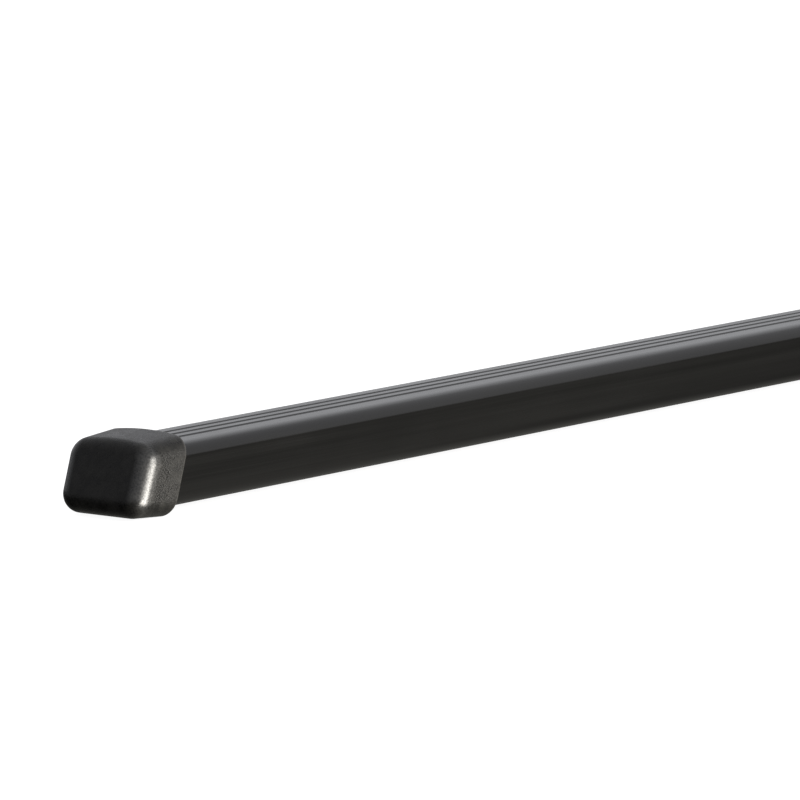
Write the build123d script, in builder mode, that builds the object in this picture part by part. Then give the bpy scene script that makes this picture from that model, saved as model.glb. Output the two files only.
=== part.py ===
from build123d import *
import os
from math import cos, radians, sin, tan

# A load bar for a pickup bed rail or a rack: a rectangular steel tube in a ribbed plastic cover,
# with a moulded cap pushed over each end.
# +X runs along the bar, +Y across it and +Z up. The origin is midway along the bar and across it,
# level with the lowest edge of the two end caps. All lengths are in millimetres, angles in degrees.

# Steel tube
tube_length = 1500.0
tube_width = 30.0
tube_height = 20.0
tube_wall = 1.5
tube_corner = 4.0
weld_bead_width = 2.4
weld_bead_height = 0.6

# Plastic cover: an extruded skin with three grooves along its slightly crowned top
cover_width = 32.0
cover_height = 22.0
cover_top_corner = 5.1
cover_bottom_corner = 3.4
cover_crown = 0.6
groove_count = 3
groove_pitch = 5.4
groove_width = 2.5
groove_depth = 0.6
groove_edge_round = 0.25
seat_relief = 0.3
seat_margin = 0.5

# End cap: its outside, measured on the plane where its mouth crosses the bar's axis
cap_width = 38.4
cap_height = 28.6
cap_top_corner = 7.4
cap_bottom_corner = 6.8
cap_crown = 1.8
cap_draft = 3.4
cap_depth = 21.5
cap_front_round = 5.7
cap_lip_round = 0.6
front_rake = 20.1
mouth_rake = 17.3

# End cap: its inside
seat_depth = 14.0
running_gap = 0.3
end_wall = 3.6
crush_rib_height = 0.8
crush_rib_radius = 1.1
crush_rib_pitch = 5.5
side_rib_count = 3
floor_rib_count = 5
lip_land = 2.5

# End cap: the hollow spigot that plugs the tube, with a web across it and a row of flexible fins
spigot_width = 21.0
spigot_height = 11.0
spigot_wall = 2.0
spigot_web = 1.6
spigot_corner = 2.0
spigot_length = 22.0
fin_count = 3
fin_pitch = 6.0
fin_first = 4.0
fin_thickness = 1.6
fin_taper = 12.0
fin_notch_width = 4.4
fin_notch_height = 1.2

# Sizes that follow from the ones above
mouth_x = seat_depth - tube_length / 2
front_x = mouth_x - cap_depth
bar_end_x = -tube_length / 2
stop_x = bar_end_x - running_gap
axis_height = cap_height / 2 / (1 + tan(radians(mouth_rake)) * tan(radians(cap_draft)))
overrun = 12.0
bore_width = tube_width - 2 * tube_wall
bore_height = tube_height - 2 * tube_wall
groove_radius = (groove_width**2 / 4 + groove_depth**2) / (2 * groove_depth)


def across(x):
    """A plane square to the bar at x, centred on its axis, with +Y to the right and +Z up."""
    return Plane(origin=(x, 0, axis_height), x_dir=(0, 1, 0), z_dir=(1, 0, 0))


def raked(x, rake):
    """A plane that crosses the axis at x and leans, so that its lower edge is the outer one."""
    normal = (cos(radians(rake)), 0, -sin(radians(rake)))
    return Plane(origin=(x, 0, axis_height), x_dir=(0, 1, 0), z_dir=normal)


def crowned_section(width, height, top_radius, bottom_radius, crown):
    """A rectangle centred on the axis, with round corners and a top that rises in the middle."""
    side = width / 2
    top = height / 2
    with BuildSketch(Plane.XY) as section:
        with BuildLine():
            Polyline((side, top - crown), (side, -top), (-side, -top), (-side, top - crown))
            ThreePointArc((-side, top - crown), (0, top), (side, top - crown))
        make_face()
        fillet(section.vertices().group_by(Axis.Y)[-1], top_radius)
        fillet(section.vertices().group_by(Axis.Y)[0], bottom_radius)
    return section.sketch


def cover_section(inset):
    """The cover's outer outline, drawn inset by a constant distance."""
    width = cover_width - 2 * inset
    height = cover_height - 2 * inset
    top_radius = cover_top_corner - inset
    bottom_radius = cover_bottom_corner - inset
    return crowned_section(width, height, top_radius, bottom_radius, cover_crown)


def cap_section(x):
    """The cap's outer outline at x, smaller towards the front by the moulding draft."""
    growth = 2 * tan(radians(cap_draft)) * (x - mouth_x)
    width = cap_width + growth
    height = cap_height + growth
    return crowned_section(width, height, cap_top_corner, cap_bottom_corner, cap_crown)


def spread(count, pitch):
    """Positions of count features, evenly spaced about zero."""
    return [(index - (count - 1) / 2) * pitch for index in range(count)]


os.makedirs("parts", exist_ok=True)

# The tube, with the bead of its lengthwise weld along the bottom of the bore.
with BuildPart() as steel_tube:
    with BuildSketch(across(bar_end_x)):
        RectangleRounded(tube_width, tube_height, tube_corner)
        RectangleRounded(bore_width, bore_height, tube_corner - tube_wall, mode=Mode.SUBTRACT)
        with Locations((0, -bore_height / 2)):
            Ellipse(weld_bead_width / 2, weld_bead_height)
    extrude(amount=tube_length)
steel_tube.part.label = "steel_tube"
export_step(steel_tube.part, "parts/steel_tube.step")

# What is trimmed off the cover at its left end, so that the cap's skirt seats on it: a thin shell
# that stops on a leaning line just past the cap's mouth.
with BuildPart() as seat_trim:
    with BuildSketch(across(bar_end_x)):
        Rectangle(cap_width, cap_height)
        add(cover_section(seat_relief), mode=Mode.SUBTRACT)
    extrude(amount=seat_depth + overrun)
    split(bisect_by=raked(mouth_x + seat_margin, mouth_rake), keep=Keep.BOTTOM)

# The cover, with its grooves cut as shallow round channels whose edges are eased.
groove_centre_height = cover_height / 2 + groove_radius - groove_depth
grooved_half_width = groove_count * groove_pitch / 2
with BuildPart() as cover:
    with BuildSketch(across(bar_end_x)) as cover_profile:
        add(cover_section(0))
        with Locations([(y, groove_centre_height) for y in spread(groove_count, groove_pitch)]):
            Circle(groove_radius, mode=Mode.SUBTRACT)
        top_corners = cover_profile.vertices().filter_by(lambda vertex: vertex.Y > 0)
        groove_edges = top_corners.filter_by_position(Axis.X, -grooved_half_width, grooved_half_width)
        fillet(groove_edges, groove_edge_round)
        RectangleRounded(tube_width, tube_height, tube_corner, mode=Mode.SUBTRACT)
    extrude(amount=tube_length)
    add(seat_trim.part, mode=Mode.SUBTRACT)
    add(mirror(seat_trim.part, about=Plane.YZ, mode=Mode.PRIVATE), mode=Mode.SUBTRACT)
cover.part.label = "cover"
export_step(cover.part, "parts/cover.step")

# The pocket inside the cap's skirt. Its side walls and floor stand back from the bar and carry
# crush ribs, which are notches in this shape. It stops short of the lip, which fits closely.
pocket_width = cover_width + 2 * crush_rib_height
pocket_height = cover_height + crush_rib_height
rib_centre_depth = crush_rib_radius - crush_rib_height
rib_y = pocket_width / 2 + rib_centre_depth
rib_z = -cover_height / 2 - crush_rib_height - rib_centre_depth
side_rib_places = [(side * rib_y, z) for side in (-1, 1) for z in spread(side_rib_count, crush_rib_pitch)]
floor_rib_places = [(y, rib_z) for y in spread(floor_rib_count, crush_rib_pitch)]
with BuildPart() as pocket:
    with BuildSketch(across(stop_x)):
        with Locations((0, -crush_rib_height / 2)):
            RectangleRounded(pocket_width, pocket_height, cover_top_corner)
        with Locations(side_rib_places + floor_rib_places):
            Circle(crush_rib_radius, mode=Mode.SUBTRACT)
    extrude(amount=seat_depth + overrun)
    split(bisect_by=raked(mouth_x - lip_land, mouth_rake), keep=Keep.BOTTOM)

# The hollow behind the pocket, inside the ledge that the bar's end stops on. Its floor leans with
# the cap's front face, so the end wall has an even thickness.
with BuildPart() as end_hollow:
    with BuildSketch(across(front_x - overrun)):
        RectangleRounded(bore_width, bore_height, tube_corner)
    extrude(amount=stop_x - front_x + overrun)
    split(bisect_by=raked(front_x + end_wall, front_rake), keep=Keep.TOP)

# The spigot, from the leaning floor to its open tip.
spigot_bore_width = spigot_width - 2 * spigot_wall
spigot_bore_height = spigot_height - 2 * spigot_wall
fin_width = bore_width - 2 * running_gap
fin_height = bore_height - 2 * running_gap
fin_corner = tube_corner - tube_wall - running_gap
with BuildPart() as spigot:
    with BuildSketch(across(front_x - overrun)):
        RectangleRounded(spigot_width, spigot_height, spigot_corner)
        RectangleRounded(spigot_bore_width, spigot_bore_height, spigot_corner / 2, mode=Mode.SUBTRACT)
        Rectangle(spigot_web, spigot_height - spigot_wall)
    extrude(amount=bar_end_x + spigot_length - front_x + overrun)
    split(bisect_by=raked(front_x + end_wall, front_rake), keep=Keep.TOP)
    for index in range(fin_count):
        with BuildSketch(across(bar_end_x + fin_first + index * fin_pitch)):
            RectangleRounded(fin_width, fin_height, fin_corner)
            with Locations((0, -bore_height / 2)):
                Rectangle(fin_notch_width, 2 * fin_notch_height, mode=Mode.SUBTRACT)
            Rectangle(spigot_bore_width, spigot_bore_height, mode=Mode.SUBTRACT)
        extrude(amount=fin_thickness, taper=fin_taper)

with BuildPart() as end_cap_left:
    with BuildSketch(across(front_x - overrun)):
        add(cap_section(front_x - overrun))
    with BuildSketch(across(mouth_x + overrun)):
        add(cap_section(mouth_x + overrun))
    loft(ruled=True)
    split(bisect_by=raked(mouth_x, mouth_rake), keep=Keep.BOTTOM)
    split(bisect_by=raked(front_x, front_rake), keep=Keep.TOP)
    fillet(end_cap_left.faces().sort_by(Axis.X)[0].edges(), cap_front_round)
    fillet(end_cap_left.faces().sort_by(Axis.X)[-1].edges(), cap_lip_round)
    with BuildSketch(across(stop_x)):
        add(cover_section(0))
    extrude(amount=seat_depth + overrun, mode=Mode.SUBTRACT)
    add(pocket.part, mode=Mode.SUBTRACT)
    add(end_hollow.part, mode=Mode.SUBTRACT)
    add(spigot.part)
end_cap_left.part.label = "end_cap_left"
export_step(end_cap_left.part, "parts/end_cap_left.step")

with BuildPart() as end_cap_right:
    add(mirror(end_cap_left.part, about=Plane.YZ, mode=Mode.PRIVATE))
end_cap_right.part.label = "end_cap_right"
export_step(end_cap_right.part, "parts/end_cap_right.step")
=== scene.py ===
# %% [markdown]
# # A load bar for a pickup bed
# The real thing is a rectangular steel tube in a black plastic cover with three grooves along its
# top, and a moulded cap pushed over each end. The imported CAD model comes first, because every piece
# made below has to lie where that model says. Sizes here are in millimetres while a shape is being
# worked out, and each mesh is turned into metres at the end.

# %% Load the frame
from math import atan2, cos, pi, radians, sin, sqrt, tan

import bmesh
import bpy
from mathutils import Matrix, Vector


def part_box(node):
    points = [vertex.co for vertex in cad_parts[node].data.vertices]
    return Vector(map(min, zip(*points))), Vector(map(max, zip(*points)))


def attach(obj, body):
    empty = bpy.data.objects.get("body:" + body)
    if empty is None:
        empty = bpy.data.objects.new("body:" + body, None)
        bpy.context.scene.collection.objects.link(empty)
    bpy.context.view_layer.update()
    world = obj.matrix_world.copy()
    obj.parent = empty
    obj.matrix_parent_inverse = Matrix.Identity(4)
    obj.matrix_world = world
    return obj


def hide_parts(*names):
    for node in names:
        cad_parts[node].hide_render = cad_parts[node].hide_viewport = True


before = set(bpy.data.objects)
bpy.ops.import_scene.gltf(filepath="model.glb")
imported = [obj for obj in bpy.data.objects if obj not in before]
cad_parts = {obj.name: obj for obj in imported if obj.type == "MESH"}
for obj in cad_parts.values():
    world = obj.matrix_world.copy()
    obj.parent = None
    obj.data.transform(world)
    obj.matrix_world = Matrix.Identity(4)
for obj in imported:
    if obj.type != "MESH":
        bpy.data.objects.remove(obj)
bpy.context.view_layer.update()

MM = 0.001
cover_low, cover_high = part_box("cover")
tube_low, tube_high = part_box("steel_tube")
axis_height = (tube_low.z + tube_high.z) / 2 / MM
bar_length = (tube_high.x - tube_low.x) / MM
cover_span = (cover_high.y - cover_low.y) / MM
print(f"bar {bar_length:.0f} mm long, {cover_span:.0f} mm wide, its axis {axis_height:.2f} mm up")

# %% [markdown]
# ## A small kit for node trees
# Geometry Nodes and materials are both node trees. Building one by hand takes three moves again and
# again: add a node, set its values, link its sockets. One helper class does all three, so that the
# cells below read as recipes.

# %% Node tree helper
column_width = 180
row_height = 260
nodes_in_row = 12
weld_distance = 0.0005


class Tree:
    """A node tree, with short ways to add nodes, to do sums and to ask for inputs by name."""

    def __init__(self, tree):
        self.tree = tree
        self.count = 0

    def add(self, kind, sockets=None, **settings):
        """Adds a node. sockets maps an input's name or number to a value or to another socket."""
        node = self.tree.nodes.new(kind)
        row, column = divmod(self.count, nodes_in_row)
        node.location = (column * column_width, -row * row_height)
        self.count += 1
        for name, value in settings.items():
            setattr(node, name, value)
        for key, value in (sockets or {}).items():
            if isinstance(value, bpy.types.NodeSocket):
                self.tree.links.new(value, node.inputs[key])
            else:
                node.inputs[key].default_value = value
        return node

    def sum(self, operation, *values):
        """One Math node: its operation on one, two or three values."""
        node = self.add("ShaderNodeMath", dict(enumerate(values)), operation=operation)
        return node.outputs[0]

    def split(self, vector):
        """The X, Y and Z of a vector socket."""
        return self.add("ShaderNodeSeparateXYZ", {0: vector}).outputs

    def join(self, x, y, z):
        """A vector from three values."""
        return self.add("ShaderNodeCombineXYZ", {0: x, 1: y, 2: z}).outputs[0]


class Recipe(Tree):
    """A Geometry Nodes tree with named inputs that ends in Realize Instances and Set Material."""

    def __init__(self, name):
        super().__init__(bpy.data.node_groups.new(name, "GeometryNodeTree"))
        self.group_input = self.tree.nodes.new("NodeGroupInput")
        self.defaults = {}

    def ask(self, name, value, kind="Float"):
        """A named input of the tree, and the value that the modifier will be given for it."""
        socket = self.tree.interface.new_socket(name, in_out="INPUT", socket_type=f"NodeSocket{kind}")
        self.defaults[socket.identifier] = value
        return self.group_input.outputs[name]

    def place(self):
        """The X, Y and Z of a point's position."""
        return self.split(self.add("GeometryNodeInputPosition").outputs[0])

    def move(self, geometry, position):
        """Every point of geometry set to the position that the sockets work out for it."""
        sockets = {"Geometry": geometry, "Position": position}
        return self.add("GeometryNodeSetPosition", sockets).outputs[0]

    def pick(self, condition, otherwise, chosen):
        """A number that depends on a condition."""
        sockets = {0: condition, 1: otherwise, 2: chosen}
        return self.add("GeometryNodeSwitch", sockets, input_type="FLOAT").outputs[0]

    def store(self, geometry, name, value, kind):
        """geometry, with value written on each of its points under a name."""
        sockets = {"Geometry": geometry, "Name": name, "Value": value}
        return self.add("GeometryNodeStoreNamedAttribute", sockets, data_type=kind).outputs[0]

    def recall(self, name, kind):
        """What store wrote on a point under that name."""
        return self.add("GeometryNodeInputNamedAttribute", {0: name}, data_type=kind).outputs[0]

    def merge(self, *parts):
        """Several geometries as one."""
        node = self.add("GeometryNodeJoinGeometry")
        for part in parts:
            self.tree.links.new(part, node.inputs[0])
        return node.outputs[0]

    def rounded_rectangle(self, width, height, radius, corner_steps, spacing):
        """A closed outline in XY, with its points evenly spaced."""
        box = self.add("GeometryNodeCurvePrimitiveQuadrilateral", {"Width": width, "Height": height})
        sockets = {"Curve": box.outputs[0], "Count": corner_steps, "Radius": radius}
        bend = self.add("GeometryNodeFilletCurve", sockets, mode="POLY")
        sockets = {"Curve": bend.outputs[0], "Length": spacing}
        return self.add("GeometryNodeResampleCurve", sockets, mode="LENGTH").outputs[0]

    def fill(self, outline):
        """A flat face inside the outline, or a ring between two outlines."""
        return self.add("GeometryNodeFillCurve", {0: outline}, mode="TRIANGLES").outputs[0]

    def prism(self, outline, length):
        """The outline filled and drawn out into a closed solid that runs along +X from X = 0."""
        face = self.fill(outline)
        sockets = {"Mesh": face, "Offset": (0, 0, 1), "Offset Scale": length}
        drawn = self.add("GeometryNodeExtrudeMesh", sockets)
        drawn.inputs["Individual"].default_value = False
        back = self.add("GeometryNodeFlipFaces", {0: face}).outputs[0]
        x, y, z = self.place()
        return self.move(self.weld(self.merge(drawn.outputs[0], back)), self.join(z, x, y))

    def weld(self, geometry):
        """geometry with doubled points merged."""
        sockets = {"Geometry": geometry, "Distance": weld_distance}
        return self.add("GeometryNodeMergeByDistance", sockets).outputs[0]

    def finish(self, geometry, material):
        """Ends the tree: instances become real mesh, and the mesh gets its material."""
        real = self.add("GeometryNodeRealizeInstances", {0: geometry}).outputs[0]
        sockets = {"Geometry": real, "Material": material}
        painted = self.add("GeometryNodeSetMaterial", sockets).outputs[0]
        self.tree.interface.new_socket("Geometry", in_out="OUTPUT", socket_type="NodeSocketGeometry")
        self.add("NodeGroupOutput", {0: painted})

    def bake(self, name):
        """Runs the tree on an empty object and returns the result as a plain mesh, in millimetres."""
        carrier = bpy.data.objects.new(name, bpy.data.meshes.new(name))
        bpy.context.scene.collection.objects.link(carrier)
        modifier = carrier.modifiers.new(name, "NODES")
        modifier.node_group = self.tree
        for identifier, value in self.defaults.items():
            modifier[identifier] = value
        graph = bpy.context.evaluated_depsgraph_get()
        mesh = bpy.data.meshes.new_from_object(carrier.evaluated_get(graph))
        bpy.data.objects.remove(carrier)
        return mesh

# %% [markdown]
# ## From mesh to piece
# A finished piece is an object at the origin with its place in its mesh. The mesh arrives in
# millimetres, so it is scaled once. Doubled points are merged before the normals are worked out,
# because the outward side can only be found on a closed skin. Faces are shaded smooth, and edges
# sharper than an angle stay crisp.

# %% Piece helper
merge_distance = 0.002
shortest_edge = 0.0005


def piece_from(mesh, name, body, stands_for, crisp=35.0, mirrored=False):
    """Cleans a mesh in millimetres, turns it into metres and hangs it on a body."""
    work = bmesh.new()
    work.from_mesh(mesh)
    bmesh.ops.remove_doubles(work, verts=work.verts, dist=merge_distance)
    bmesh.ops.dissolve_degenerate(work, edges=work.edges, dist=shortest_edge)
    scale = Matrix.Diagonal((-MM if mirrored else MM, MM, MM, 1))
    bmesh.ops.transform(work, matrix=scale, verts=work.verts)
    bmesh.ops.recalc_face_normals(work, faces=work.faces)
    open_edges = sum(1 for edge in work.edges if not edge.is_manifold)
    work.to_mesh(mesh)
    work.free()
    for polygon in mesh.polygons:
        polygon.use_smooth = True
    mesh.set_sharp_from_angle(angle=radians(crisp))
    piece = bpy.data.objects.new(name, mesh)
    bpy.context.scene.collection.objects.link(piece)
    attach(piece, body)
    for node in stands_for:
        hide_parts(node)
    print(f"{name}: {len(mesh.polygons)} faces, {open_edges} open edges")
    return piece

# %% [markdown]
# ## The stage and the camera
# The camera stands well back with a long lens, so the bar hardly tapers on its way into the
# distance. It looks across the near end of the bar from a little above. Its place is worked out
# from the end cap: an azimuth, an elevation, a distance, and how far the middle of the view lies to
# the right of the cap and above it.

# %% Camera
seat_depth = 14.0
mouth_x = seat_depth - bar_length / 2
view_azimuth = radians(53.14)
view_elevation = radians(8.2)
view_distance = 2743.0
view_right = 90.45
view_above = 24.85
lens_length = 355.4
sensor_width = 36.0
clip_end = 50

level = cos(view_elevation)
look = Vector((sin(view_azimuth) * level, cos(view_azimuth) * level, -sin(view_elevation)))
right = look.cross(Vector((0, 0, 1))).normalized()
above = right.cross(look)
cap_middle = Vector((mouth_x, 0, axis_height))
camera_data = bpy.data.cameras.new("camera")
camera_data.lens = lens_length
camera_data.sensor_width = sensor_width
camera_data.clip_end = clip_end
camera = bpy.data.objects.new("camera", camera_data)
camera.location = (cap_middle + right * view_right + above * view_above - look * view_distance) * MM
camera.rotation_euler = look.to_track_quat("-Z", "Y").to_euler()
bpy.context.scene.collection.objects.link(camera)
bpy.context.scene.camera = camera
bpy.context.scene.view_settings.view_transform = "Standard"
print("camera at", [round(v, 3) for v in camera.location])

# %% [markdown]
# Black plastic shows hardly any colour of its own: what the eye reads is what it mirrors. So the
# room matters more than the lamps. It is painted here by direction. It is brightest towards a soft
# panel high up past the far end of the bar, and gets a little darker away from it. Below the horizon
# it is dark, like black boards laid around a shiny product, and darkest on the near end's side. The
# upright sides of the bar mirror just that. The camera itself sees plain white behind the bar.

# %% Room
panel_side = Vector((0.79, 0.35, 0.5)).normalized()
light_away = 0.50
light_at_panel = 0.67
panel_extra = 0.3
light_under = 0.26
light_at_horizon = 0.05
near_end_share = 0.05
horizon_softness = 0.07
warm_tint = (1.02, 1.0, 0.94)
cool_tint = (0.98, 0.99, 1.03)
white = (1, 1, 1, 1)


def between(tree, value, low, high, out_low=0.0, out_high=1.0, kind="LINEAR"):
    """value, with low to high turned into out_low to out_high and clamped."""
    sockets = {"Value": value, "From Min": low, "From Max": high}
    sockets |= {"To Min": out_low, "To Max": out_high}
    return tree.add("ShaderNodeMapRange", sockets, interpolation_type=kind).outputs[0]


def blend_colours(tree, factor, first, second):
    """A colour between two, each given as three numbers or as a socket."""
    mix = tree.add("ShaderNodeMix", {0: factor}, data_type="RGBA")
    for socket, colour in zip([s for s in mix.inputs if s.type == "RGBA"], (first, second)):
        if isinstance(colour, bpy.types.NodeSocket):
            tree.tree.links.new(colour, socket)
        else:
            socket.default_value = (*colour, 1)
    return [s for s in mix.outputs if s.type == "RGBA"][0]


world = bpy.data.worlds.new("studio room")
world.use_nodes = True
world.node_tree.nodes.clear()
room = Tree(world.node_tree)
direction = room.add("ShaderNodeTexCoord").outputs["Generated"]
towards_x, towards_y, towards_z = room.split(direction)
sockets = {0: direction, 1: panel_side}
facing = room.add("ShaderNodeVectorMath", sockets, operation="DOT_PRODUCT").outputs["Value"]
wide_glow = between(room, facing, 0.2, 0.95, light_away, light_at_panel)
panel_glow = between(room, facing, 0.93, 1.0, 0.0, panel_extra, "SMOOTHSTEP")
light_above = room.sum("ADD", wide_glow, panel_glow)
light_below = between(room, towards_z, -0.6, 0.0, light_under, light_at_horizon)
far_end_share = between(room, towards_x, -0.4, 0.5, near_end_share, 1.0)
light_below = room.sum("MULTIPLY", light_below, far_end_share)
is_above = between(room, towards_z, 0.0, horizon_softness)
is_below = room.sum("SUBTRACT", 1.0, is_above)
light_above = room.sum("MULTIPLY", light_above, is_above)
light_below = room.sum("MULTIPLY", light_below, is_below)
sockets = {
    "Color": blend_colours(room, is_above, warm_tint, cool_tint),
    "Strength": room.sum("ADD", light_above, light_below),
}
lit_room = room.add("ShaderNodeBackground", sockets).outputs[0]
white_room = room.add("ShaderNodeBackground", {"Color": white, "Strength": 1.0}).outputs[0]
seen_by_camera = room.add("ShaderNodeLightPath").outputs["Is Camera Ray"]
sockets = {0: seen_by_camera, 1: lit_room, 2: white_room}
room.add("ShaderNodeOutputWorld", {0: room.add("ShaderNodeMixShader", sockets).outputs[0]})
bpy.context.scene.world = world
print("brightest towards", [round(v, 2) for v in panel_side])

# %% [markdown]
# The floor is a plain white sheet with only a breath of shadow on it. It is switched off for
# everything but the camera, so that the bar mirrors the painted room and not the sheet.

# %% Floor
floor_half = 8.0
paper_grey = (0.4, 0.4, 0.4, 1)
paper_glow = 0.93
floor_mesh = bpy.data.meshes.new("floor")
floor_corners = [(x * floor_half, y * floor_half, 0) for x, y in ((-1, -1), (1, -1), (1, 1), (-1, 1))]
floor_mesh.from_pydata(floor_corners, [], [(0, 1, 2, 3)])
floor = bpy.data.objects.new("floor", floor_mesh)
bpy.context.scene.collection.objects.link(floor)
floor.visible_diffuse = False
floor.visible_glossy = False
floor.visible_shadow = False
paper = bpy.data.materials.new("floor_paper")
paper.use_nodes = True
paper.node_tree.nodes.clear()
sheet = Tree(paper.node_tree)
pale = sheet.add("ShaderNodeBsdfDiffuse", {"Color": paper_grey}).outputs[0]
glow = sheet.add("ShaderNodeEmission", {"Color": white, "Strength": paper_glow}).outputs[0]
both = sheet.add("ShaderNodeAddShader", {0: pale, 1: glow}).outputs[0]
sheet.add("ShaderNodeOutputMaterial", {0: both})
floor_mesh.materials.append(paper)
print("floor", 2 * floor_half, "m across")

# %% [markdown]
# Two lamps do the rest. A wide strip stands beside the near end and a little lower. It draws the
# bright line down the rounded upright edge of the cap and leaves the front face in the dark. A weaker
# panel above it lets the line fade out slowly towards the top. The strip hangs below the sheet, which
# doesn't stop its light.

# %% Lamps
lamp_distance = 0.8
lamp_colour = (1.0, 0.965, 0.90)


def panel_lamp(name, direction, width, height, radiance):
    """A rectangular lamp beside the left cap, as bright as radiance says whatever its size."""
    data = bpy.data.lights.new(name, "AREA")
    data.shape = "RECTANGLE"
    data.size = width
    data.size_y = height
    data.energy = radiance * pi * width * height
    data.color = lamp_colour
    lamp = bpy.data.objects.new(name, data)
    lamp.location = cap_middle * MM + direction * lamp_distance
    lamp.rotation_euler = direction.to_track_quat("Z", "Y").to_euler()
    bpy.context.scene.collection.objects.link(lamp)
    print(name, "gives", round(data.energy, 1), "W")


strip_side = Vector((0.17, -0.98, -0.19))
upper_side = Vector((0.32, -0.90, 0.30))
panel_lamp("low_strip", strip_side, width=0.68, height=0.34, radiance=17.5)
panel_lamp("upper_panel", upper_side, width=0.46, height=0.24, radiance=12.0)

# %% [markdown]
# ## Finishes
# Each finish is one small tree of noise textures that read Object coordinates, which are metres on
# the real part, so a noise scale of 1000 gives features about a millimetre across.

# %% Finish helper
def new_finish(name):
    material = bpy.data.materials.new(name)
    material.use_nodes = True
    material.node_tree.nodes.clear()
    tree = Tree(material.node_tree)
    tree.place = tree.add("ShaderNodeTexCoord").outputs["Object"]
    return material, tree


def noise(tree, scale, detail=3.0, stretch=(1, 1, 1)):
    """Noise from 0 to 1, with its pattern stretched along the axes where stretch is small."""
    sockets = {"Vector": tree.place, "Scale": [scale * s for s in stretch]}
    spread = tree.add("ShaderNodeMapping", sockets).outputs[0]
    sockets = {"Vector": spread, "Scale": 1.0, "Detail": detail}
    return tree.add("ShaderNodeTexNoise", sockets).outputs[0]


def relief(tree, height, depth, under=None):
    """A bump, with height from 0 to 1 standing for depth in metres."""
    sockets = {"Height": height, "Distance": depth, "Strength": 1.0}
    if under:
        sockets["Normal"] = under
    return tree.add("ShaderNodeBump", sockets).outputs[0]


def end_finish(tree, colour, roughness, normal, coat=None, **fixed):
    """The Principled shader and the output. fixed are numbers that are the same all over."""
    sockets = {"Base Color": colour, "Roughness": roughness, "Normal": normal}
    if coat:
        sockets["Coat Weight"] = coat
    shader = tree.add("ShaderNodeBsdfPrincipled", sockets)
    for name, value in fixed.items():
        shader.inputs[name.replace("_", " ")].default_value = value
    tree.add("ShaderNodeOutputMaterial", {0: shader.outputs[0]})

# %% [markdown]
# ### The cap's finish
# The caps are moulded in a black rubbery plastic with a fine spark-eroded grain. Grain scatters the
# highlight into sparkle, so it is a bump, not a colour. Dust lies in it in soft patches, which are a
# little lighter and rougher. The rim of the mouth is painted a lighter grey, a painted highlight along
# the lip's edge. Handling burnishes the upright rounds of the front. The mesh carries a number for
# each, which the finish reads: the rim gets the painted highlight, and the rounds get a thin glossy
# coat.

# %% Moulded cap finish
clean_black = (0.0080, 0.0078, 0.0074)
dusty_black = (0.021, 0.0203, 0.0186)
# The next two numbers paint a lighter grey on the rim of the mouth: a painted highlight along the lip's
# edge.
rim_highlight_grey = (0.09, 0.087, 0.083)
rim_highlight_strength = 0.3
grain_depth = 0.00012
patch_depth = 0.00008

moulded_cap, cap = new_finish("moulded_cap")
cap_patches = noise(cap, scale=260, detail=4)
cap_specks = noise(cap, scale=1500, detail=2)
cap_dust = cap.sum("ADD", cap_patches, cap.sum("MULTIPLY", cap_specks, 0.7))
cap_dust = between(cap, cap_dust, 0.68, 1.12)
# Painted highlight: the rim's number blends the colour towards a lighter grey along the mouth.
cap_rim_highlight = cap.add("ShaderNodeAttribute", attribute_name="rim").outputs["Fac"]
cap_rim_highlight = between(cap, cap_rim_highlight, 0.2, 1.0, 0.0, rim_highlight_strength)
cap_black = blend_colours(cap, cap_dust, clean_black, dusty_black)
cap_colour = blend_colours(cap, cap_rim_highlight, cap_black, rim_highlight_grey)
dusty_gloss = between(cap, cap_dust, 0, 1, 0.29, 0.39)
speckled_gloss = between(cap, cap_specks, 0.3, 0.7, -0.03, 0.03)
cap_gloss = cap.sum("ADD", dusty_gloss, speckled_gloss)
cap_grain = noise(cap, scale=1900, detail=3)
cap_skin = relief(cap, cap_grain, grain_depth, relief(cap, cap_patches, patch_depth))
cap_polish = cap.add("ShaderNodeAttribute", attribute_name="edge").outputs["Fac"]
cap_polish = cap.sum("MULTIPLY", cap_polish, between(cap, cap_specks, 0.3, 0.6, 0.55, 1.0))
fixed = {"Specular_IOR_Level": 0.19, "Coat_Roughness": 0.33, "Coat_IOR": 1.82}
end_finish(cap, cap_colour, cap_gloss, cap_skin, cap_polish, **fixed)

# %% [markdown]
# ### The cover's finish
# The cover is extruded, so every mark on it runs along the bar. The same noise is stretched a long
# way along X to make fine draw lines, which vary the gloss and leave a very shallow relief.

# %% Extruded cover finish
deep_black = (0.0036, 0.0036, 0.0035)
streaked_black = (0.0064, 0.0064, 0.0062)
draw_depth = 0.000012
handling_depth = 0.00008

extruded_cover, skin = new_finish("extruded_cover")
draw_lines = noise(skin, scale=1400, detail=3, stretch=(0.004, 1, 1))
wide_streaks = noise(skin, scale=220, detail=2, stretch=(0.02, 1, 1))
handling = noise(skin, scale=45, detail=4, stretch=(0.5, 1, 1))
streaks = between(skin, wide_streaks, 0.35, 0.7)
skin_colour = blend_colours(skin, streaks, deep_black, streaked_black)
drawn_gloss = between(skin, draw_lines, 0.3, 0.7, 0.13, 0.19)
handled_gloss = between(skin, handling, 0.4, 0.75, 0.0, 0.06)
skin_gloss = skin.sum("ADD", drawn_gloss, handled_gloss)
skin_relief = relief(skin, draw_lines, draw_depth, relief(skin, handling, handling_depth))
end_finish(skin, skin_colour, skin_gloss, skin_relief, IOR=1.5)

# %% [markdown]
# ### The tube's finish
# The tube is made from galvanised strip. Zinc sets in flat crystals called spangle, which a Voronoi
# texture gives: each cell gets its own brightness and its own gloss. The sawn ends are bare steel
# with fine saw lines and a little rust, so the finish changes at the ends.

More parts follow.
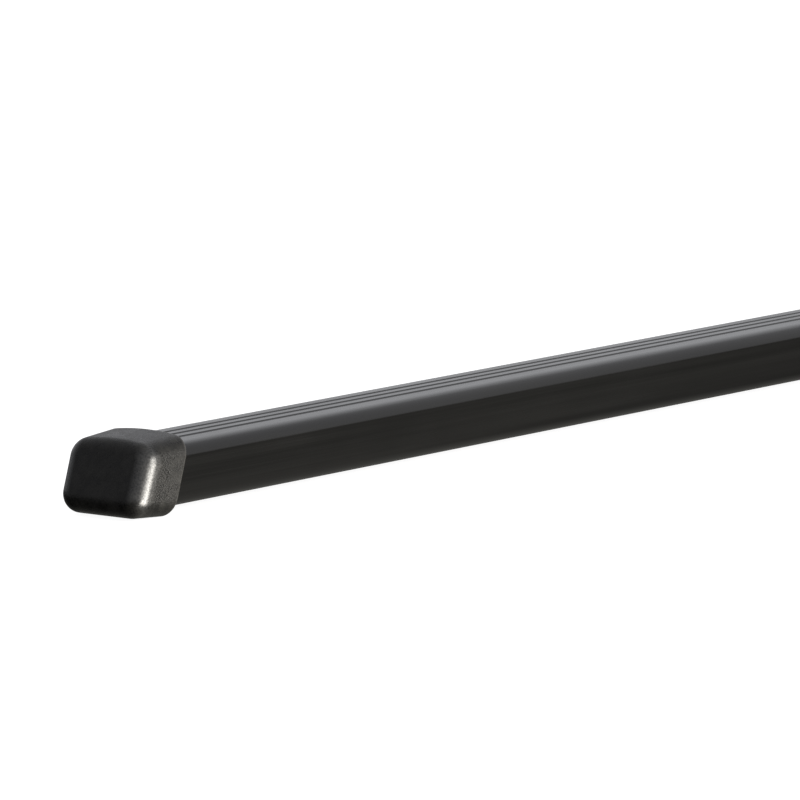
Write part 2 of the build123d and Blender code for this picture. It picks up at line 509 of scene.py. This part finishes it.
# %% Galvanised tube finish
spangle_scale = 170.0
dark_zinc, bright_zinc = (0.40, 0.41, 0.42), (0.62, 0.63, 0.65)
sawn_steel, rust_brown = (0.42, 0.40, 0.38), (0.16, 0.075, 0.035)
end_depth = 0.05
saw_depth = 0.00002
zinc_depth = 0.00003

galvanised, zinc = new_finish("galvanised_tube")
wider = zinc.add("ShaderNodeVectorMath", {0: zinc.place}, operation="SCALE")
wider.inputs["Scale"].default_value = spangle_scale
sockets = {"Vector": wider.outputs[0], "Scale": 1.0, "Randomness": 1.0}
cells = zinc.add("ShaderNodeTexVoronoi", sockets)
cell_tone = zinc.split(cells.outputs["Color"])[0]
from_middle = zinc.sum("ABSOLUTE", zinc.split(zinc.place)[0])
at_end = zinc.sum("GREATER_THAN", from_middle, (bar_length / 2 - end_depth) * MM)
saw_lines = noise(zinc, scale=2600, detail=2, stretch=(1, 0.08, 1))
rust = between(zinc, noise(zinc, scale=420, detail=4), 0.56, 0.68)
zinc_colour = blend_colours(zinc, cell_tone, dark_zinc, bright_zinc)
sawn_colour = blend_colours(zinc, rust, sawn_steel, rust_brown)
tube_colour = blend_colours(zinc, at_end, zinc_colour, sawn_colour)
spangled_gloss = between(zinc, cell_tone, 0, 1, 0.34, 0.5)
tube_gloss = zinc.sum("ADD", spangled_gloss, zinc.sum("MULTIPLY", at_end, 0.1))
zinc_relief = relief(zinc, noise(zinc, scale=900, detail=3), zinc_depth)
tube_relief = relief(zinc, saw_lines, saw_depth, zinc_relief)
end_finish(zinc, tube_colour, tube_gloss, tube_relief, Metallic=0.7)

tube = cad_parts["steel_tube"]
tube.data.materials.clear()
tube.data.materials.append(galvanised)
print("steel_tube keeps its CAD mesh, with", len(tube.data.polygons), "faces")

# %% [markdown]
# ## The cover
# The cover is one profile drawn along the bar, which is just the kind of rule that Geometry Nodes
# are for. The tree makes the outline of the profile: a rectangle with round corners whose top rises
# a little in the middle, less three round grooves. Then it sweeps the outline along a row of
# stations. At each end the skin is shaved to a seat that the cap slides over, and the seat stops on
# a leaning line. The inside fits the tube, and a flat ring closes each end.

# %% Cover tree
cover_width = 32.0
cover_height = 22.0
cover_top_corner = 5.1
cover_bottom_corner = 3.4
cover_crown = 0.6
mouth_rake = 17.3
seat_relief = 0.3
seat_margin = 0.5
tube_width = (tube_high.y - tube_low.y) / MM
tube_height = (tube_high.z - tube_low.z) / MM
tube_corner = 4.0
outline_spacing = 0.13
outline_steps = 24
bore_spacing = 0.4
bore_steps = 12


def cover_recipe():
    """The tree that makes the whole cover from one outline."""
    tree = Recipe("ribbed cover")
    length = tree.ask("Length", bar_length)
    width = tree.ask("Width", cover_width)
    height = tree.ask("Height", cover_height)
    top_corner = tree.ask("Top corner", cover_top_corner)
    bottom_corner = tree.ask("Bottom corner", cover_bottom_corner)
    crown = tree.ask("Crown", cover_crown)
    blend = tree.ask("Crown blend", 2.0)
    grooves = tree.ask("Grooves", 3, "Int")
    pitch = tree.ask("Groove pitch", 5.4)
    groove_width = tree.ask("Groove width", 2.5)
    groove_depth = tree.ask("Groove depth", 0.6)
    eased = tree.ask("Groove edge softness", 0.12)
    bore_width = tree.ask("Bore width", tube_width)
    bore_height = tree.ask("Bore height", tube_height)
    bore_corner = tree.ask("Bore corner", tube_corner)
    seat = tree.ask("Seat length", seat_depth + seat_margin)
    shave = tree.ask("Seat relief", seat_relief)
    lean = tree.ask("Seat lean", tan(radians(mouth_rake)))
    rows = tree.ask("Stations", 30, "Int")
    lift = tree.ask("Axis height", axis_height)
    material = tree.ask("Material", extruded_cover, "Material")

    # The outline: corner radii differ above and below, and the top is crowned.
    across_x, up_y, _ = tree.place()
    is_top = tree.sum("GREATER_THAN", up_y, 0.0)
    radius = tree.pick(is_top, bottom_corner, top_corner)
    outline = tree.rounded_rectangle(width, height, radius, outline_steps, outline_spacing)
    half_width = tree.sum("DIVIDE", width, 2.0)
    corner_start = tree.sum("SUBTRACT", half_width, top_corner)
    out = tree.sum("SMOOTH_MIN", tree.sum("ABSOLUTE", across_x), corner_start, blend)
    corner_foot = tree.sum("SUBTRACT", tree.sum("DIVIDE", height, 2.0), top_corner)
    share_up = tree.sum("MAXIMUM", tree.sum("DIVIDE", up_y, corner_foot), 0.0)
    share_up = tree.sum("MINIMUM", share_up, 1.0)
    fall = tree.sum("MULTIPLY", crown, tree.sum("POWER", tree.sum("DIVIDE", out, half_width), 2.0))
    fall = tree.sum("MULTIPLY", fall, share_up)

    # The grooves: a round channel in each pitch, only in the middle of the top.
    half_band = tree.sum("DIVIDE", tree.sum("MULTIPLY", grooves, pitch), 2.0)
    in_band = tree.sum("LESS_THAN", tree.sum("ABSOLUTE", across_x), half_band)
    from_start = tree.sum("ADD", across_x, half_band)
    in_pitch = tree.sum("FLOORED_MODULO", from_start, pitch)
    in_pitch = tree.sum("SUBTRACT", in_pitch, tree.sum("DIVIDE", pitch, 2.0))
    half_groove = tree.sum("DIVIDE", groove_width, 2.0)
    width_squared = tree.sum("POWER", half_groove, 2.0)
    squares = tree.sum("ADD", width_squared, tree.sum("POWER", groove_depth, 2.0))
    round_radius = tree.sum("DIVIDE", squares, tree.sum("MULTIPLY", groove_depth, 2.0))
    radius_squared = tree.sum("POWER", round_radius, 2.0)
    under_root = tree.sum("SUBTRACT", radius_squared, tree.sum("MULTIPLY", in_pitch, in_pitch))
    arc_depth = tree.sum("SQRT", tree.sum("MAXIMUM", under_root, 0.0))
    arc_depth = tree.sum("SUBTRACT", arc_depth, tree.sum("SUBTRACT", round_radius, groove_depth))
    channel = tree.sum("SMOOTH_MAX", arc_depth, 0.0, eased)
    drop = tree.sum("MULTIPLY", channel, tree.sum("MULTIPLY", in_band, is_top))

    # Each outline point remembers where it belongs, and how deep it lies in a groove.
    shape = tree.join(across_x, tree.sum("SUBTRACT", up_y, fall), drop)
    outline = tree.store(outline, "shape", shape, "FLOAT_VECTOR")
    shape = tree.split(tree.recall("shape", "FLOAT_VECTOR"))

    def section(on_seat):
        """Sideways and upward place of an outline point: on_seat is 1 on the shaved seat, else 0."""
        shaved = tree.sum("MULTIPLY", shave, on_seat)
        both_shaved = tree.sum("MULTIPLY", shaved, 2.0)
        keep_width = tree.sum("SUBTRACT", 1.0, tree.sum("DIVIDE", both_shaved, width))
        keep_height = tree.sum("SUBTRACT", 1.0, tree.sum("DIVIDE", both_shaved, height))
        groove = tree.sum("MAXIMUM", tree.sum("SUBTRACT", shape[2], shaved), 0.0)
        up = tree.sum("SUBTRACT", tree.sum("MULTIPLY", shape[1], keep_height), groove)
        return tree.sum("MULTIPLY", shape[0], keep_width), up

    # The stations: first and last are the bar's ends, and the next two are the edges of a seat.
    sockets = {"Start": (0, 0, 0), "End": (1, 0, 0)}
    rail = tree.add("GeometryNodeCurvePrimitiveLine", sockets).outputs[0]
    rail = tree.add("GeometryNodeResampleCurve", {"Curve": rail, "Count": rows}).outputs[0]
    number = tree.add("GeometryNodeInputIndex").outputs[0]
    rail = tree.store(rail, "station", number, "FLOAT")
    station = tree.recall("station", "FLOAT")
    last = tree.sum("SUBTRACT", rows, 1.0)
    is_first = tree.sum("LESS_THAN", station, 0.5)
    is_last = tree.sum("GREATER_THAN", station, tree.sum("SUBTRACT", last, 0.5))
    on_left_seat = tree.sum("LESS_THAN", station, 1.5)
    on_right_seat = tree.sum("GREATER_THAN", station, tree.sum("SUBTRACT", last, 1.5))
    side, up = section(tree.sum("ADD", on_left_seat, on_right_seat))
    half_length = tree.sum("DIVIDE", length, 2.0)
    seat_edge = tree.sum("SUBTRACT", half_length, seat)
    share = between(tree, station, 2.0, tree.sum("SUBTRACT", last, 2.0), -1.0, 1.0)
    leaning = tree.sum("MULTIPLY", tree.sum("MULTIPLY", up, lean), share)
    x = tree.sum("SUBTRACT", tree.sum("MULTIPLY", share, seat_edge), leaning)
    left_end_x = tree.sum("MULTIPLY", half_length, -1.0)
    x = tree.pick(is_first, x, left_end_x)
    x = tree.pick(is_last, x, half_length)
    outside = tree.add("GeometryNodeCurveToMesh", {"Curve": rail, "Profile Curve": outline}).outputs[0]
    outside = tree.move(outside, tree.join(x, side, tree.sum("ADD", up, lift)))

    # The inside: the bore's outline is swept along the same stations, with no seat and no lean.
    bore = tree.rounded_rectangle(bore_width, bore_height, bore_corner, bore_steps, bore_spacing)
    bore_x, bore_y, _ = tree.place()
    bore = tree.store(bore, "shape", tree.join(bore_x, bore_y, 0.0), "FLOAT_VECTOR")
    inside = tree.add("GeometryNodeCurveToMesh", {"Curve": rail, "Profile Curve": bore}).outputs[0]
    along = between(tree, station, 0.0, last, -1.0, 1.0)
    inside_x = tree.sum("MULTIPLY", along, half_length)
    inside = tree.move(inside, tree.join(inside_x, shape[0], tree.sum("ADD", shape[1], lift)))

    # The ends: the shaved outline and the bore, filled as a ring and stood up at each end.
    ring_side, ring_up = section(1.0)
    ring = tree.fill(tree.merge(tree.move(outline, tree.join(ring_side, ring_up, 0.0)), bore))
    flat_x, flat_y, _ = tree.place()
    stood = tree.sum("ADD", flat_y, lift)
    left_end = tree.move(ring, tree.join(left_end_x, flat_x, stood))
    right_end = tree.move(ring, tree.join(half_length, flat_x, stood))
    tree.finish(tree.weld(tree.merge(outside, inside, left_end, right_end)), material)
    return tree


cover_mesh = cover_recipe().bake("cover_skin")
for name in ("shape", "station"):
    if name in cover_mesh.attributes:
        cover_mesh.attributes.remove(cover_mesh.attributes[name])
piece_from(cover_mesh, "cover_skin", "bar", ["cover"], crisp=40.0)

# %% [markdown]
# ## The caps
# A cap is one closed skin: over the outside from the middle of the front face to the mouth, in over
# the rim, down the pocket to the ledge that the bar stops on, along the hollow behind it, and out
# over the spigot that plugs the tube. All of that is a stack of rings, and every ring is the same
# idea: a rectangle with round corners and a slightly raised top. So the cap is lofted in mesh code
# from one ring function, in which corners and crown are true arcs.

# %% Ring function
corner_steps = 14
crown_steps = 18


def arc(centre, radius, start, end, steps):
    """Points along an arc and the directions they face, as (y, z) pairs."""
    angles = [start + (end - start) * k / steps for k in range(steps + 1)]
    faces = [(cos(a), sin(a)) for a in angles]
    return [((centre[0] + radius * c, centre[1] + radius * s), (c, s)) for c, s in faces]


def ring(width, height, top_radius, bottom_radius, crown, drop=0.0):
    """One ring of (y, z) points with their outward directions, anticlockwise from the right side."""
    side, top = width / 2, height / 2
    crown_radius = (side**2 + crown**2) / (2 * crown)
    crown_centre = top - crown_radius
    corner_y = side - top_radius
    corner_z = crown_centre + sqrt((crown_radius - top_radius) ** 2 - corner_y**2)
    tangent = atan2(corner_z - crown_centre, corner_y)
    low_y, low_z = side - bottom_radius, -top + bottom_radius
    points = arc((corner_y, corner_z), top_radius, 0, tangent, corner_steps)
    points += arc((0, crown_centre), crown_radius, tangent, pi - tangent, crown_steps)[1:-1]
    points += arc((-corner_y, corner_z), top_radius, pi - tangent, pi, corner_steps)
    points += arc((-low_y, low_z), bottom_radius, pi, 1.5 * pi, corner_steps)
    points += arc((low_y, low_z), bottom_radius, 1.5 * pi, 2 * pi, corner_steps)
    return [((y, z - drop), face) for (y, z), face in points]


print("points in a ring:", len(ring(10, 10, 2, 2, 0.1)))

# %% [markdown]
# The front edge of the cap is rounded as a ball rolled along the inside of the edge would round it.
# The cap tapers with its moulding draft and its front leans, so the edge isn't square: it is sharper
# at the bottom and flatter on top. For each point of the ring, the ball's centre is where two
# surfaces, both moved inwards by the ball's radius, meet. The round is the arc from one surface's
# outward direction to the other's.

# %% Outer shell of a cap
cap_width = 38.4
cap_height = 28.6
cap_top_corner = 7.4
cap_bottom_corner = 6.8
cap_crown = 1.8
cap_draft = 3.4
cap_depth = 21.5
cap_front_round = 5.7
cap_lip_round = 0.6
front_rake = 20.1
overrun = 12.0


def slerp(first, second, share):
    """A direction part of the way round from one direction to another."""
    angle = first.angle(second)
    return (first * sin((1 - share) * angle) + second * sin(share * angle)) / sin(angle)


def side_lines():
    """For each ring point: a point on the drafted side, its direction along the cap, its normal."""
    draft = tan(radians(cap_draft))

    def section(x):
        growth = 2 * draft * x
        width, height = cap_width + growth, cap_height + growth
        return ring(width, height, cap_top_corner, cap_bottom_corner, cap_crown)

    back, front = -cap_depth - overrun, overrun
    lines = []
    for (start, face), (end, _) in zip(section(back), section(front)):
        point = Vector((back, *start))
        run = (Vector((front, *end)) - point) / (front - back)
        around = Vector((0, -face[1], face[0]))
        normal = around.cross(run).normalized()
        if normal.y * face[0] + normal.z * face[1] < 0:
            normal = -normal
        lines.append((point, run, normal))
    return lines


def rolled_edge(lines, plane_point, plane_normal, radius, steps):
    """Rings of the round between a plane and the cap's side, from the plane to the side."""
    rings = [[] for _ in range(steps + 1)]
    for point, run, normal in lines:
        inner = point - normal * radius
        depth = radius + (inner - plane_point).dot(plane_normal)
        distance = -depth / run.dot(plane_normal)
        centre = inner + run * distance
        for k, made in enumerate(rings):
            made.append(centre + slerp(plane_normal, normal, k / steps) * radius)
    return rings


def straight_ring(section, x, rake):
    """A ring where straight walls along the bar meet a plane that crosses the axis at x and leans."""
    return [Vector((x + tan(radians(rake)) * z, y, z)) for (y, z), _ in section]


def part_way(first, second, share):
    """A ring part of the way from one ring to another."""
    return [a.lerp(b, share) for a, b in zip(first, second)]

# %% [markdown]
# The rings are then laid in order and joined with four-sided faces. Inside, the pocket stands back
# from the bar to leave room for crush ribs, and narrows again at the rim to fit closely. Extra rings
# beside each corner keep the smooth shading from smearing round it. The rim and the upright rounds of
# the front are marked with numbers for the finish to read.

# %% Loft a cap
running_gap = 0.3
end_wall = 3.6
crush_rib_height = 0.8
lip_land = 2.5
tube_wall = 1.5
bore_width = tube_width - 2 * tube_wall
bore_height = tube_height - 2 * tube_wall
spigot_width = 21.0
spigot_height = 11.0
spigot_wall = 2.0
spigot_corner = 2.0
spigot_length = 22.0
flat_crown = 0.001
front_round_steps = 14
lip_round_steps = 6
face_shares = (0.25, 0.5, 0.75, 0.94)
side_shares = (0.04, 0.2, 0.4, 0.6, 0.8, 0.94)
polish_rise = 1.5
bar_end = -seat_depth
stop = bar_end - running_gap
spigot_tip = bar_end + spigot_length
floor_x = -cap_depth + end_wall


def cap_rings():
    """Every ring of the cap, measured from the middle of its mouth, with its rim and edge numbers."""
    lines = side_lines()
    front_normal = Vector((-cos(radians(front_rake)), 0, sin(radians(front_rake))))
    mouth_normal = Vector((cos(radians(mouth_rake)), 0, -sin(radians(mouth_rake))))
    front = Vector((-cap_depth, 0, 0))
    front_edge = rolled_edge(lines, front, front_normal, cap_front_round, front_round_steps)
    mouth = Vector((0, 0, 0))
    lip_edge = rolled_edge(lines, mouth, mouth_normal, cap_lip_round, lip_round_steps)[::-1]
    middle = sum(front_edge[0], Vector()) / len(front_edge[0])
    face = [[middle.lerp(p, share) for p in front_edge[0]] for share in face_shares]
    side = [part_way(front_edge[-1], lip_edge[0], share) for share in side_shares]

    throat = ring(cover_width, cover_height, cover_top_corner, cover_bottom_corner, cover_crown)
    pocket = ring(
        cover_width + 2 * crush_rib_height,
        cover_height + crush_rib_height,
        cover_top_corner,
        cover_top_corner,
        flat_crown,
        drop=crush_rib_height / 2,
    )
    hollow = ring(bore_width, bore_height, tube_corner, tube_corner, flat_crown)
    post = ring(spigot_width, spigot_height, spigot_corner, spigot_corner, flat_crown)
    post_bore = ring(
        spigot_width - 2 * spigot_wall,
        spigot_height - 2 * spigot_wall,
        spigot_corner / 2,
        spigot_corner / 2,
        flat_crown,
    )
    inside = [
        straight_ring(throat, 0.0, mouth_rake),
        straight_ring(throat, -lip_land, mouth_rake),
        straight_ring(pocket, -lip_land, mouth_rake),
        straight_ring(pocket, stop, 0),
        straight_ring(hollow, stop, 0),
        straight_ring(hollow, floor_x, front_rake),
        straight_ring(post, floor_x, front_rake),
        straight_ring(post, spigot_tip, 0),
        straight_ring(post_bore, spigot_tip, 0),
        straight_ring(post_bore, floor_x, front_rake),
    ]
    end_middle = Vector((floor_x, 0, 0))
    shares = [k / front_round_steps for k in range(front_round_steps + 1)]
    polish = [0.0] * len(face)
    polish += [sin(pi / 2 * min(1.0, polish_rise * share)) for share in shares]
    polish += [0.5] + [0.0] * (len(side) - 1)
    upright = [normal.y**2 for _, _, normal in lines]
    outer = face + front_edge + side
    outer = [(r, 0.0, [shine * u for u in upright]) for r, shine in zip(outer, polish)]
    plain = [0.0] * len(lines)
    rim = [(r, 1.0, plain) for r in lip_edge]
    inner = [(r, 1.0 if k == 0 else 0.0, plain) for k, r in enumerate(inside)]
    return middle, outer + rim + inner, end_middle


def loft(rings, first_pole, last_pole, offset):
    """A closed mesh from rings, with a point in the middle at each end, moved by offset."""
    count = len(rings[0][0])
    points = [first_pole] + [p for r, _, _ in rings for p in r] + [last_pole]
    faces = [(0, 1 + (k + 1) % count, 1 + k) for k in range(count)]
    for level in range(len(rings) - 1):
        base, following = 1 + level * count, 1 + (level + 1) * count
        for k in range(count):
            after = (k + 1) % count
            faces.append((base + k, base + after, following + after, following + k))
    base, pole = 1 + (len(rings) - 1) * count, len(points) - 1
    faces += [(base + k, base + (k + 1) % count, pole) for k in range(count)]
    mesh = bpy.data.meshes.new("cap")
    mesh.from_pydata([p + offset for p in points], [], faces)
    rim_marks = [0.0] + [rim for _, rim, _ in rings for _ in range(count)] + [0.0]
    edge_marks = [0.0] + [edge for _, _, edges in rings for edge in edges] + [0.0]
    mesh.attributes.new("rim", "FLOAT", "POINT").data.foreach_set("value", rim_marks)
    mesh.attributes.new("edge", "FLOAT", "POINT").data.foreach_set("value", edge_marks)
    return mesh


def both_sides(make_mesh, name, material, crisp):
    """The left cap's piece and its mirror image on the right cap."""
    for side, mirrored in (("left", False), ("right", True)):
        mesh = make_mesh()
        mesh.materials.clear()
        mesh.materials.append(material)
        title = f"cap_{side}_{name}"
        piece_from(mesh, title, f"cap_{side}", [f"end_cap_{side}"], crisp, mirrored)


first_pole, all_rings, last_pole = cap_rings()


def shell_mesh():
    """The cap's closed skin as a mesh."""
    return loft(all_rings, first_pole, last_pole, cap_middle)


both_sides(shell_mesh, "shell", moulded_cap, crisp=38.0)

# %% [markdown]
# ### Crush ribs
# Inside the pocket, low half-round ribs run along the side walls and the floor. They are squeezed
# flat when the cap is pushed on, and hold it. They repeat, so Geometry Nodes make one rib and place
# it along three short rows of points. Each rib is as long as the pocket is at its own height,
# because the mouth leans.

# %% Crush rib tree
rib_in_ledge = 0.2
rib_past_lip = 0.8


def crush_rib_recipe():
    """The tree that makes one rib and repeats it in three rows."""
    tree = Recipe("crush ribs")
    side_count = tree.ask("Side ribs", 3, "Int")
    floor_count = tree.ask("Floor ribs", 5, "Int")
    pitch = tree.ask("Pitch", 5.5)
    radius = tree.ask("Radius", 1.1)
    height = tree.ask("Height", crush_rib_height)
    buried = tree.ask("Buried", 0.3)
    wall = tree.ask("Wall", cover_width / 2 + crush_rib_height)
    ground = tree.ask("Ground", -cover_height / 2 - crush_rib_height)
    start = tree.ask("Start", stop - rib_in_ledge)
    lip = tree.ask("Lip", rib_past_lip - lip_land)
    lean = tree.ask("Lean", tan(radians(mouth_rake)))
    middle = tree.ask("Mouth middle", cap_middle, "Vector")
    material = tree.ask("Material", moulded_cap, "Material")

    # One rib of unit length: a circle, sunk so that only its height shows, and cut flat below.
    sockets = {"Resolution": 28, "Radius": radius}
    circle = tree.add("GeometryNodeCurvePrimitiveCircle", sockets, mode="RADIUS").outputs[0]
    x, y, _ = tree.place()
    sunk = tree.sum("ADD", y, tree.sum("SUBTRACT", height, radius))
    flattened = tree.sum("MAXIMUM", sunk, tree.sum("MULTIPLY", buried, -1.0))
    rib = tree.prism(tree.move(circle, tree.join(x, flattened, 0.0)), 1.0)

    def row(count, first, step, turn):
        """A row of ribs from the point first, one step apart, turned about X to stand on their wall."""
        sockets = {"Count": count, "Start Location": first, "Offset": step}
        line = tree.add("GeometryNodeMeshLine", sockets).outputs[0]
        _, _, z = tree.place()
        long = tree.sum("SUBTRACT", tree.sum("ADD", lip, tree.sum("MULTIPLY", z, lean)), start)
        stretch = tree.join(long, 1.0, 1.0)
        sockets = {"Points": line, "Instance": rib, "Rotation": (turn, 0, 0), "Scale": stretch}
        return tree.add("GeometryNodeInstanceOnPoints", sockets).outputs[0]

    def half_span(count):
        """Half the length of a row of count ribs."""
        whole = tree.sum("MULTIPLY", tree.sum("SUBTRACT", count, 1.0), pitch)
        return tree.sum("DIVIDE", whole, 2.0)

    lowest = tree.sum("MULTIPLY", half_span(side_count), -1.0)
    leftmost = tree.sum("MULTIPLY", half_span(floor_count), -1.0)
    upward = tree.join(0.0, 0.0, pitch)
    near_wall = tree.sum("MULTIPLY", wall, -1.0)
    right_row = row(side_count, tree.join(start, wall, lowest), upward, pi / 2)
    left_row = row(side_count, tree.join(start, near_wall, lowest), upward, -pi / 2)
    sideways = tree.join(0.0, pitch, 0.0)
    floor_row = row(floor_count, tree.join(start, leftmost, ground), sideways, 0.0)
    sockets = {"Geometry": tree.merge(right_row, left_row, floor_row), "Translation": middle}
    tree.finish(tree.add("GeometryNodeTransform", sockets).outputs[0], material)
    return tree


crush_ribs = crush_rib_recipe()
both_sides(lambda: crush_ribs.bake("crush_ribs"), "crush_ribs", moulded_cap, crisp=40.0)

# %% [markdown]
# ### Spigot fins
# The spigot grips the bore of the tube with thin fins all round it, like those on a hose plug. One
# fin is a ring with a notch that clears the tube's weld bead, and it tapers, so that its back is a
# little smaller than its front. Geometry Nodes make the ring and repeat it along the spigot.

# %% Fin tree
fin_thickness = 1.6
fin_taper = 12.0
rim_spacing, rim_steps = 0.3, 8
hole_spacing, hole_steps = 0.8, 4


def fin_recipe():
    """The tree that makes one fin and repeats it along the spigot."""
    tree = Recipe("spigot fins")
    count = tree.ask("Fins", 3, "Int")
    pitch = tree.ask("Pitch", 6.0)
    first = tree.ask("First fin", bar_end + 4.0)
    thickness = tree.ask("Thickness", fin_thickness)
    width = tree.ask("Width", bore_width - 2 * running_gap)
    height = tree.ask("Height", bore_height - 2 * running_gap)
    shrink = tree.ask("Taper", fin_thickness * tan(radians(fin_taper)))
    notch_width = tree.ask("Notch width", 4.4)
    notch_height = tree.ask("Notch height", 1.2 - running_gap)
    hole_width = tree.ask("Hole width", spigot_width - spigot_wall)
    hole_height = tree.ask("Hole height", spigot_height - spigot_wall)
    middle = tree.ask("Mouth middle", cap_middle, "Vector")
    material = tree.ask("Material", moulded_cap, "Material")

    corner = tree.ask("Corner", tube_corner - tube_wall - running_gap)
    rim = tree.rounded_rectangle(width, height, corner, rim_steps, rim_spacing)
    x, y, _ = tree.place()
    in_notch = tree.sum("LESS_THAN", tree.sum("ABSOLUTE", x), tree.sum("DIVIDE", notch_width, 2.0))
    in_notch = tree.sum("MULTIPLY", in_notch, tree.sum("LESS_THAN", y, 0.0))
    raised = tree.sum("ADD", y, tree.sum("MULTIPLY", in_notch, notch_height))
    rim = tree.move(rim, tree.join(x, raised, 0.0))
    hole = tree.rounded_rectangle(hole_width, hole_height, spigot_corner / 2, hole_steps, hole_spacing)
    fin = tree.prism(tree.merge(rim, hole), thickness)
    along, sideways, upward = tree.place()
    share = tree.sum("DIVIDE", along, thickness)
    both_shrink = tree.sum("MULTIPLY", shrink, 2.0)
    narrow = tree.sum("SUBTRACT", 1.0, tree.sum("DIVIDE", both_shrink, width))
    lower = tree.sum("SUBTRACT", 1.0, tree.sum("DIVIDE", both_shrink, height))
    sideways = tree.sum("MULTIPLY", sideways, between(tree, share, 0.0, 1.0, 1.0, narrow))
    upward = tree.sum("MULTIPLY", upward, between(tree, share, 0.0, 1.0, 1.0, lower))
    fin = tree.move(fin, tree.join(along, sideways, upward))
    start = tree.join(first, 0.0, 0.0)
    sockets = {"Count": count, "Start Location": start, "Offset": tree.join(pitch, 0.0, 0.0)}
    line = tree.add("GeometryNodeMeshLine", sockets).outputs[0]
    fins = tree.add("GeometryNodeInstanceOnPoints", {"Points": line, "Instance": fin}).outputs[0]
    placed = tree.add("GeometryNodeTransform", {"Geometry": fins, "Translation": middle}).outputs[0]
    tree.finish(placed, material)
    return tree


fins = fin_recipe()
both_sides(lambda: fins.bake("spigot_fins"), "spigot_fins", moulded_cap, crisp=30.0)

# %% [markdown]
# ### Spigot web
# A single upright wall stiffens the hollow spigot. It is a plain slab whose back end leans with the
# floor it grows from, so eight corners in mesh code are enough.

# %% Spigot web
web_thickness = 1.6
web_buried = 0.4
web_inset = 0.1


def web_mesh():
    """The web as a slab with eight corners."""
    half = web_thickness / 2
    top = spigot_height / 2 - spigot_wall + web_buried
    lean = tan(radians(front_rake))
    corners = []
    for z in (-top, top):
        for x in (floor_x - web_buried + lean * z, spigot_tip - web_inset):
            corners += [Vector((x, -half, z)) + cap_middle, Vector((x, half, z)) + cap_middle]
    faces = [(0, 1, 3, 2), (4, 6, 7, 5), (0, 4, 5, 1), (2, 3, 7, 6), (0, 2, 6, 4), (1, 5, 7, 3)]
    mesh = bpy.data.meshes.new("web")
    mesh.from_pydata(corners, [], faces)
    return mesh


both_sides(web_mesh, "spigot_web", moulded_cap, crisp=30.0)
